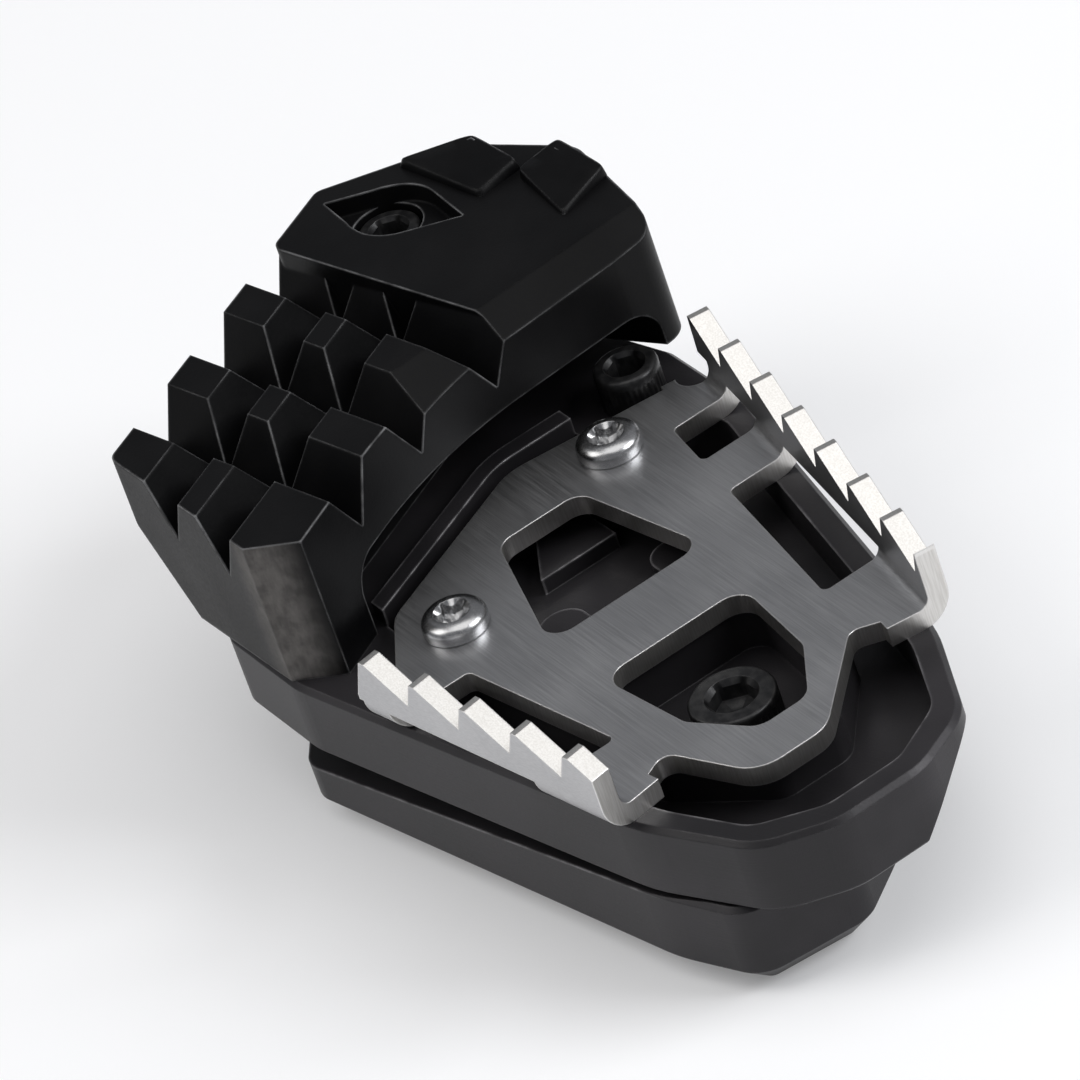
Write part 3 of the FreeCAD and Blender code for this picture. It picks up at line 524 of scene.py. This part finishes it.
@dataclass(frozen=True)
class ScrewSteel:
    """Steel of a screw: turned rings on the head, paler where a key has rubbed it."""

    name: str
    tint: Colour
    worn: Colour
    rough: float
    metallic: float
    ring_scale: float = 240.0
    cloud: Pattern = Pattern(0.8, detail=4.0)
    rubs: Pattern = Pattern(1.1)
    cloud_span: Span = (0.35, 0.70)
    rub_span: Span = (0.30, 0.60)
    cloud_share: float = 0.2
    edge_mask_reach: float = 0.25
    ring_rough: float = 0.16
    cloud_rough: float = 0.14
    ring_relief: float = 0.6
    relief_depth: float = 0.004
    edge_round: float = 0.08

    def material(self) -> bpy.types.Material:
        """Build the material: rings follow the profile's own map, wear sits on outer edges.

        Returns:
            The material.
        """
        g = Graph(self.name)
        along = g.axes(g.node("ShaderNodeTexCoord", output="UV"))[1]
        line = {"noise_dimensions": "1D"}
        rings = g.node("ShaderNodeTexNoise", line, {"W": along, "Scale": self.ring_scale})
        cloud = g.noise(self.cloud)
        wear_and_highlight = g.edge_wear_and_highlight(self.edge_mask_reach) * g.noise(self.rubs).step(*self.rub_span)
        tint = g.mix(cloud.step(*self.cloud_span) * self.cloud_share, self.tint, self.worn)
        height = rings * self.ring_relief + cloud * (1 - self.ring_relief)
        return g.finish(
            Base_Color=g.mix(wear_and_highlight, tint, self.worn),
            Metallic=self.metallic,
            Roughness=g.swing(self.rough, (rings, self.ring_rough), (cloud, self.cloud_rough)),
            Normal=g.relief(height, self.relief_depth, self.edge_round),
        )


@dataclass(frozen=True)
class PaleFloor:
    """Plain pale studio floor that looks white to the eye and in reflections, and keeps shadows."""

    name: str = "pale_floor"
    tint: Colour = (0.80, 0.80, 0.81)
    rough: float = 0.7
    gloss: float = 0.2
    glow: float = 0.18
    unlit: Colour = (0.0, 0.0, 0.0)
    white: Colour = (1.0, 1.0, 1.0)

    def material(self) -> bpy.types.Material:
        """Build the material: a faint glow only for rays from the eye, from gloss or through glass.

        Returns:
            The material.
        """
        g = Graph(self.name)
        rays = g.node("ShaderNodeLightPath").socket.node.outputs
        eye, gloss = Term(g, rays["Is Camera Ray"]), Term(g, rays["Is Glossy Ray"])
        seen = (eye + gloss + Term(g, rays["Is Transmission Ray"])).step(0.0, 1.0)
        return g.finish(
            Base_Color=self.tint,
            Roughness=self.rough,
            Specular_IOR_Level=self.gloss,
            Emission_Color=g.mix(seen, self.unlit, self.white),
            Emission_Strength=self.glow,
        )


SolidFinish = Union[Anodised, BrushedSheet, PadBlack]


def add_object(name: str, data: bpy.types.ID) -> bpy.types.Object:
    """Put a mesh, lamp or camera into the scene.

    Args:
        name: Name of the object.
        data: What it shows.

    Returns:
        The object.
    """
    made = bpy.data.objects.new(name, data)
    bpy.context.scene.collection.objects.link(made)
    return made


def closed_skin(name: str, points: np.ndarray, along: np.ndarray) -> bpy.types.Object:
    """Close a stack of rings: quads between the rings and a fan at each end.

    Args:
        name: Name of the object.
        points: One row of points for each station; the first and the last row are a single point.
        along: Distance along the profile at each station, in metres.

    Returns:
        The object, with a map of the turn and the distance along the profile.
    """
    # The end rows are single points, so the grid of quads has two rows fewer.
    stations, around = points.shape[:2]
    grid = points[1:-1].reshape(-1, 3)
    verts = np.concatenate([grid, points[[0, -1], 0]])
    rows = np.arange(stations - 3)[:, None] * around
    columns = np.arange(around)[None, :]
    ahead = np.roll(columns, -1, axis=1)
    quads = np.stack(
        [rows + columns, rows + around + columns, rows + around + ahead, rows + ahead], axis=-1
    ).reshape(-1, 4)
    first = columns[0]
    last = (stations - 3) * around + columns[0]
    start = np.full(around, len(grid))
    top_fan = np.stack([start, first, np.roll(first, -1)], axis=-1)
    foot_fan = np.stack([start + 1, np.roll(last, -1), last], axis=-1)
    faces = [*quads.tolist(), *top_fan.tolist(), *foot_fan.tolist()]
    mesh = bpy.data.meshes.new(name)
    mesh.from_pydata(verts.tolist(), [], faces)
    heights = np.concatenate([np.repeat(along[1:-1], around), along[[0, -1]]]) / MM
    turns = np.concatenate([np.tile(np.arange(around) / around, stations - 2), [0.0, 0.0]])
    corner = np.empty(len(mesh.loops), dtype=np.int32)
    mesh.loops.foreach_get("vertex_index", corner)
    chart = mesh.uv_layers.new(name="profile")
    chart.data.foreach_set("uv", np.stack([turns[corner], heights[corner]], axis=-1).ravel())
    mesh.update()
    return add_object(name, mesh)


def smooth_finish(piece: bpy.types.Object, material: bpy.types.Material, angle: float) -> None:
    """Give a piece its finish and smooth shading.

    Args:
        piece: The piece.
        material: Its finish.
        angle: Edges sharper than this stay sharp, in degrees.
    """
    piece.data.materials.append(material)
    piece.data.shade_smooth()
    piece.data.set_sharp_from_angle(angle=math.radians(angle))


def full_turn(around: int) -> np.ndarray:
    """Even angles once round, without the last, which is the first again."""
    return np.linspace(0.0, 2 * math.pi, around, endpoint=False)


def profile_rows(
    radius: Sequence[float],
    height: Sequence[float],
    recess: Union[float, Sequence[float]] = 0.0,
    knurl: Union[float, Sequence[float]] = 0.0,
) -> np.ndarray:
    """Rows of a screw's profile.

    Args:
        radius: Radius at each station.
        height: Height over the seat at each station.
        recess: Share of the recess's shape in the ring.
        knurl: Share of the knurl in the ring.

    Returns:
        The four values of each station.
    """
    return np.stack(np.broadcast_arrays(radius, height, recess, knurl), axis=-1)


class Recess(Enum):
    """Shape of the recess that drives a screw."""

    HEXAGON = "hexagon"
    SIX_LOBE = "six_lobe"


class Head(Enum):
    """Shape of a screw's head."""

    BUTTON = "button"
    SOCKET = "socket"


@dataclass(frozen=True)
class Screw:
    """A turned screw standing upright: recess, head and plain shank, sizes in metres.

    From lobe on the fields are proportions: of the half key for the recess, of the head's height
    for its fillet, rim, dome and side, of the rim for the knurled band, of the shank for its tip.
    """

    name: str
    centre: Corner
    seat: float
    head_radius: float
    head_height: float
    shank_radius: float
    foot: float
    key_half: float
    key_depth: float
    recess: Recess
    head: Head
    knurls: int = 0
    around: int = 144
    dome_steps: int = 12
    rim_steps: int = 6
    mouth_gap: float = 0.1 * MM
    lobe: float = 0.17
    floor_dip: float = 0.25
    half_dip: float = 0.12
    floor_edge: float = 0.97
    mouth_depth: float = 0.22
    mouth_flare: float = 1.24
    fillet: float = 0.04
    rim: float = 0.12
    dome_foot: float = 0.34
    dome_power: float = 0.8
    side_break: float = 0.06
    band_top: float = 2.1
    band_foot: float = 1.1
    run_out: float = 0.3
    rim_break: float = 0.3
    knurl_depth: float = 0.035
    tip: float = 0.25

    def recess_radius(self, angle: np.ndarray) -> np.ndarray:
        """Radius of the recess round the axis.

        A hexagon's radius is its flat distance over the cosine of the angle from the nearest flat.
        A six-lobe recess swings between two radii with the cosine of six times the angle.

        Args:
            angle: Angles round the axis.

        Returns:
            A radius for each angle.
        """
        if self.recess is Recess.HEXAGON:
            sector = math.pi / 3
            return self.key_half / np.cos(np.mod(angle, sector) - sector / 2)
        return self.key_half * (1.0 + self.lobe * np.cos(6 * angle))

    def bowl(self) -> np.ndarray:
        """Rows of the recess, from its floor's centre up the wall and out over its chamfer."""
        key, high = self.key_half, self.head_height
        floor = high - self.key_depth
        radius = [0.0, 0.5 * key, self.floor_edge * key, key, key]
        height = [
            floor - self.floor_dip * key,
            floor - self.half_dip * key,
            floor,
            floor + self.fillet * high,
            high - self.mouth_depth * key - self.mouth_gap,
        ]
        mouth = profile_rows([self.mouth_flare * key], [high])
        return np.concatenate([profile_rows(radius, height, recess=1.0), mouth])

    def button_head(self) -> np.ndarray:
        """Rows of a button head from the recess's mouth to the seat.

        The radius grows with the sine of a quarter turn, and the height falls with a power of its
        cosine. A short upright side with a broken edge follows.

        Returns:
            Rows of the profile.
        """
        full, high = self.head_radius, self.head_height
        mouth = self.mouth_flare * self.key_half
        low, lower = self.dome_foot * high, self.side_break * high
        turn = np.linspace(0.0, QUARTER, self.dome_steps)[1:]
        radius = mouth + (full - mouth) * np.sin(turn)
        height = low + (high - low) * np.cos(turn) ** self.dome_power
        side = profile_rows([full, full - lower], [lower, 0.0])
        return np.concatenate([profile_rows(radius, height), side])

    def socket_head(self) -> np.ndarray:
        """Rows of a socket head from its upper edge to the seat.

        The upper edge is a quarter round by sine and cosine. A knurled band runs in and out below
        it, and the lower edge is broken.

        Returns:
            Rows of the profile.
        """
        full, high = self.head_radius, self.head_height
        rim = self.rim * high
        turn = np.linspace(0.0, QUARTER, self.rim_steps)
        edge = profile_rows(full - rim + rim * np.sin(turn), high - rim + rim * np.cos(turn))
        lower = self.rim_break * rim
        height = [
            high - self.band_top * rim,
            high - (self.band_top + self.run_out) * rim,
            (self.band_foot + self.run_out) * rim,
            self.band_foot * rim,
            lower,
            0.0,
        ]
        radius = [full, full, full, full, full, full - lower]
        knurl = [0.0, 1.0, 1.0, 0.0, 0.0, 0.0]
        return np.concatenate([edge, profile_rows(radius, height, knurl=knurl)])

    def shank(self) -> np.ndarray:
        """Rows of the plain shank, from the seat to the middle of its chamfered foot."""
        full, depth = self.shank_radius, self.foot - self.seat
        tip = self.tip * full
        return profile_rows([full, full, full - tip, 0.0], [0.0, depth + tip, depth, depth])

    def surface(self) -> tuple[np.ndarray, np.ndarray]:
        """Carry the profile round the axis.

        The radius at a station is the recess radius where its share is 1 and the profile's own
        radius where it is 0. A knurl lowers it by a cosine with as many waves as there are ridges.

        Returns:
            Points with one row for each station, and the distance along the profile.
        """
        head = self.button_head() if self.head is Head.BUTTON else self.socket_head()
        rows = np.concatenate([self.bowl(), head, self.shank()])
        radius, height, shaped, knurled = rows.T[:, :, None]
        angle = full_turn(self.around)
        socket = self.recess_radius(angle) * radius / self.key_half
        wave = 0.5 - 0.5 * np.cos(self.knurls * angle)
        ring = (shaped * socket + (1 - shaped) * radius) * (1 - self.knurl_depth * knurled * wave)
        x = self.centre[0] + ring * np.cos(angle)
        y = self.centre[1] + ring * np.sin(angle)
        points = np.stack([x, y, np.broadcast_to(self.seat + height, ring.shape)], axis=-1)
        steps = np.diff(rows[:, :2], axis=0, prepend=rows[:1, :2])
        return points, np.cumsum(np.hypot(steps[:, 0], steps[:, 1]))

    def build(self) -> bpy.types.Object:
        """Make the screw's object."""
        return closed_skin(self.name, *self.surface())


@dataclass(frozen=True)
class Lug:
    """A raised lug on the end of the toe pad, with a sloping top and rounded corners.

    The corners are in the pad's own axes, anticlockwise, and all sizes are in millimetres.
    """

    name: str
    corners: tuple[Corner, ...]
    flat: float
    platform: float = 40.3
    turn: float = 118.0
    slope_start: float = 36.4
    foot: float = 0.54
    slope: float = 0.114
    limit: float = 1.58
    sink: float = 0.3
    corner_power: float = 16.0
    wall_power: float = 1.7
    wall_steps: int = 13
    around: int = 144

    def outline(self, angle: np.ndarray) -> np.ndarray:
        """Distance from the middle to the outline.

        A side's distance is its offset over the cosine of the angle from its normal. The four sides
        are joined by a power sum of their inverses, whose high power leaves the corners rounded.

        Args:
            angle: Angles round the middle.

        Returns:
            A distance for each angle.
        """
        corners = np.array(self.corners)
        run = np.roll(corners, -1, axis=0) - corners
        length = np.hypot(run[:, 0], run[:, 1])[:, None]
        normal = np.stack([run[:, 1], -run[:, 0]], axis=-1) / length
        offset = np.sum((corners - corners.mean(axis=0)) * normal, axis=1)
        facing = np.clip(normal @ np.stack([np.cos(angle), np.sin(angle)]), 0.0, None)
        inverse = np.sum((facing / offset[:, None]) ** self.corner_power, axis=0)
        return inverse ** (-1 / self.corner_power)

    def surface(self) -> tuple[np.ndarray, np.ndarray]:
        """Shrink the outline towards the middle and lift it.

        The top is a plane that rises along the pad up to a limit. From the flat's border to the
        outline the lift falls with a power of the distance, which rounds the upper edge.

        Returns:
            Points with one row for each station, and the distance along the profile.
        """
        angle = full_turn(self.around)
        wall = np.linspace(0.0, 1.0, self.wall_steps)
        border = self.flat + (1 - self.flat) * wall
        share = np.concatenate([[0.0, 0.5 * self.flat], border, [1.0, 0.0]])
        lift = np.concatenate([[1.0, 1.0], 1 - wall**self.wall_power, [0.0, 0.0]])
        drop = np.where(np.arange(len(share)) < len(share) - 2, 0.0, self.sink)
        middle = np.mean(self.corners, axis=0)
        ring = share[:, None] * self.outline(angle)
        x = middle[0] + ring * np.cos(angle)
        y = middle[1] + ring * np.sin(angle)
        top = np.minimum(self.foot + (x - self.slope_start) * self.slope, self.limit)
        z = self.platform + lift[:, None] * top - drop[:, None]
        cosine, sine = math.cos(math.radians(self.turn)), math.sin(math.radians(self.turn))
        points = np.stack([x * cosine - y * sine, x * sine + y * cosine, z], axis=-1) * MM
        steps = np.hypot(np.diff(share, prepend=0.0), np.diff(lift, prepend=1.0))
        return points, np.cumsum(steps) * MM


@dataclass(frozen=True)
class PadLugs:
    """The two lugs on the raised end of the toe pad."""

    near: Lug = Lug("pad_lug_near", ((35.2, 9.9), (43.2, 8.2), (47.2, 16.6), (41.6, 19.3)), 0.93)
    far: Lug = Lug("pad_lug_far", ((37.2, 22.0), (43.2, 19.6), (46.75, 27.7), (41.6, 35.6)), 0.91)
    smooth_angle: float = 34.0

    def build(self, material: bpy.types.Material) -> None:
        """Build both lugs over the plain ones of the solid.

        Args:
            material: The pad's finish.
        """
        for lug in (self.near, self.far):
            piece = closed_skin(lug.name, *lug.surface())
            smooth_finish(piece, material, self.smooth_angle)
            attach(piece, BODY)
            LOG.info("%s: %d faces", piece.name, len(piece.data.polygons))


@dataclass(frozen=True)
class Fasteners:
    """All screws of the part, placed by the boxes of their solids."""

    bright: ScrewSteel = ScrewSteel(
        "bright_screw",
        tint=(0.42, 0.42, 0.425),
        worn=(0.66, 0.66, 0.66),
        rough=0.25,
        metallic=1.0,
    )
    black: ScrewSteel = ScrewSteel(
        "black_screw",
        tint=(0.016, 0.016, 0.017),
        worn=(0.13, 0.127, 0.125),
        rough=0.36,
        metallic=0.6,
    )
    button_radius: float = 3.8 * MM
    button_height: float = 2.2 * MM
    button_shank: float = 2.0 * MM
    button_key: float = 1.7 * MM
    button_depth: float = 0.72
    socket_depth: float = 0.6
    knurls: int = 36
    smooth_angle: float = 32.0

    def sockets(self) -> dict[str, Triple]:
        """Head height, shank radius and half key of each socket-head screw, in millimetres."""
        return {
            "clamp_screw_front": (4.0, 3.0, 2.5),
            "clamp_screw_rear": (5.0, 2.5, 2.0),
            "toe_pad_screw": (4.0, 2.5, 2.0),
        }

    def socket_screw(self, node: str) -> Screw:
        """A knurled socket-head screw in the place of a node.

        Args:
            node: The node's name.

        Returns:
            The screw.
        """
        low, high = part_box(node)
        height, shank, key = (size * MM for size in self.sockets()[node])
        return Screw(
            name=f"{node}_turned",
            centre=((low.x + high.x) / 2, (low.y + high.y) / 2),
            seat=high.z - height,
            head_radius=(high.x - low.x) / 2,
            head_height=height,
            shank_radius=shank,
            foot=low.z,
            key_half=key,
            key_depth=self.socket_depth * height,
            recess=Recess.HEXAGON,
            head=Head.SOCKET,
            knurls=self.knurls,
        )

    def button_screws(self) -> list[Screw]:
        """The two button-head screws of the tread plate, at opposite corners of their node's box.

        Returns:
            The left and the right screw.
        """
        low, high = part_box("tread_screws")
        radius = self.button_radius
        corners = {
            "left": (high.x - radius, low.y + radius),
            "right": (low.x + radius, high.y - radius),
        }
        return [
            Screw(
                name=f"tread_screw_{side}",
                centre=centre,
                seat=high.z - self.button_height,
                head_radius=radius,
                head_height=self.button_height,
                shank_radius=self.button_shank,
                foot=low.z,
                key_half=self.button_key,
                key_depth=self.button_depth * self.button_height,
                recess=Recess.SIX_LOBE,
                head=Head.BUTTON,
            )
            for side, centre in corners.items()
        ]

    def dress(self, screw: Screw, node: str, material: bpy.types.Material) -> None:
        """Build a screw and let it stand for its node.

        Args:
            screw: The screw.
            node: The node that it replaces.
            material: Its finish.
        """
        piece = screw.build()
        smooth_finish(piece, material, self.smooth_angle)
        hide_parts(node)
        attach(piece, BODY)
        LOG.info("%s: %d faces", piece.name, len(piece.data.polygons))

    def build(self) -> None:
        """Build and dress every screw."""
        bright = self.bright.material()
        black = self.black.material()
        for screw in self.button_screws():
            self.dress(screw, "tread_screws", bright)
        for node in self.sockets():
            self.dress(self.socket_screw(node), node, black)


@dataclass(frozen=True)
class Solids:
    """The nodes that keep their solids, with the finish of each."""

    nodes: Mapping[str, bpy.types.Object]

    def finishes(self) -> dict[str, SolidFinish]:
        """Finish of each kept node."""
        clamp = Anodised()
        return {
            "upper_clamp": clamp,
            "lower_clamp": clamp,
            "tread_plate": BrushedSheet(),
            "toe_pad": PadBlack(),
        }

    def build(self) -> dict[str, bpy.types.Material]:
        """Give each node its finish.

        Returns:
            The materials by the names of their finishes.
        """
        made: dict[str, bpy.types.Material] = {}
        for node, finish in self.finishes().items():
            if finish.name not in made:
                made[finish.name] = finish.material()
            mesh = self.nodes[node].data
            mesh.materials.clear()
            mesh.materials.append(made[finish.name])
            LOG.info("%s: %s", node, finish.name)
        return made


@dataclass(frozen=True)
class Lamp:
    """A square soft lamp: its place and side in metres, its power in watts and its colour."""

    name: str
    place: Triple
    side: float
    power: float
    tint: Colour

    def build(self, aim: Vector) -> None:
        """Set up the lamp so that it looks at a point.

        Args:
            aim: The point.
        """
        data = bpy.data.lights.new(self.name, "AREA")
        data.size = self.side
        data.energy = self.power
        data.color = self.tint
        lamp = add_object(self.name, data)
        lamp.location = self.place
        lamp.rotation_euler = (aim - Vector(self.place)).to_track_quat("-Z", "Y").to_euler()


@dataclass(frozen=True)
class Studio:
    """Floor, soft lamps and the camera at the photograph's angle."""

    right: Triple = (0.5332, 0.8000, -0.2751)
    up: Triple = (-0.3751, 0.5112, 0.7736)
    aim: Triple = (0.0004, 0.0003, 0.0235)
    distance: float = 1.0
    view_width: float = 0.118
    sensor: float = 36.0
    clip: Span = (0.01, 20.0)
    floor_half: float = 4.0
    sky: Colour = (0.93, 0.95, 1.0)
    sky_strength: float = 0.26
    lamps: tuple[Lamp, ...] = (
        Lamp("key", (-0.35, -0.70, 0.95), 0.7, 4.2, (1.0, 0.985, 0.96)),
        Lamp("side", (0.75, 0.85, 0.85), 0.7, 12.0, (0.97, 0.985, 1.0)),
        Lamp("top", (0.13, 0.10, 1.18), 1.0, 4.6, (1.0, 0.99, 0.975)),
    )

    def camera(self) -> None:
        """Place the camera along the view's back direction, with the view's right and up."""
        right = Vector(self.right).normalized()
        back = right.cross(Vector(self.up)).normalized()
        up = back.cross(right)
        data = bpy.data.cameras.new("camera")
        data.sensor_width = self.sensor
        data.lens = self.sensor * self.distance / self.view_width
        data.clip_start, data.clip_end = self.clip
        camera = add_object("camera", data)
        turn = Matrix((right, up, back)).transposed()
        place = Matrix.Translation(Vector(self.aim) + back * self.distance)
        camera.matrix_world = place @ turn.to_4x4()
        bpy.context.scene.camera = camera

    def floor(self) -> None:
        """A wide flat sheet below the part."""
        half = self.floor_half
        corners = np.array([[-half, -half, 0], [half, -half, 0], [half, half, 0], [-half, half, 0]])
        mesh = bpy.data.meshes.new("floor")
        mesh.from_pydata(corners.tolist(), [], [[0, 1, 2, 3]])
        mesh.materials.append(PaleFloor().material())
        add_object("floor", mesh)

    def world(self) -> None:
        """Even pale light from all round."""
        world = bpy.data.worlds.new("studio")
        world.use_nodes = True
        background = world.node_tree.nodes["Background"]
        background.inputs["Color"].default_value = (*self.sky, 1.0)
        background.inputs["Strength"].default_value = self.sky_strength
        bpy.context.scene.world = world

    def build(self) -> None:
        """Build the whole stage."""
        self.floor()
        self.world()
        self.camera()
        for lamp in self.lamps:
            lamp.build(Vector(self.aim))
        bpy.context.scene.view_settings.view_transform = "Standard"


def main() -> None:
    """Load the solids, dress them, make the lugs and screws and set the stage."""
    logging.basicConfig(level=logging.INFO, format="%(name)s %(message)s")
    bpy.ops.object.select_all(action="SELECT")
    bpy.ops.object.delete()
    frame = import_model()
    made = Solids(frame["nodes"]).build()
    PadLugs().build(made[PadBlack.name])
    Fasteners().build()
    Studio().build()


if __name__ == "__main__":
    main()
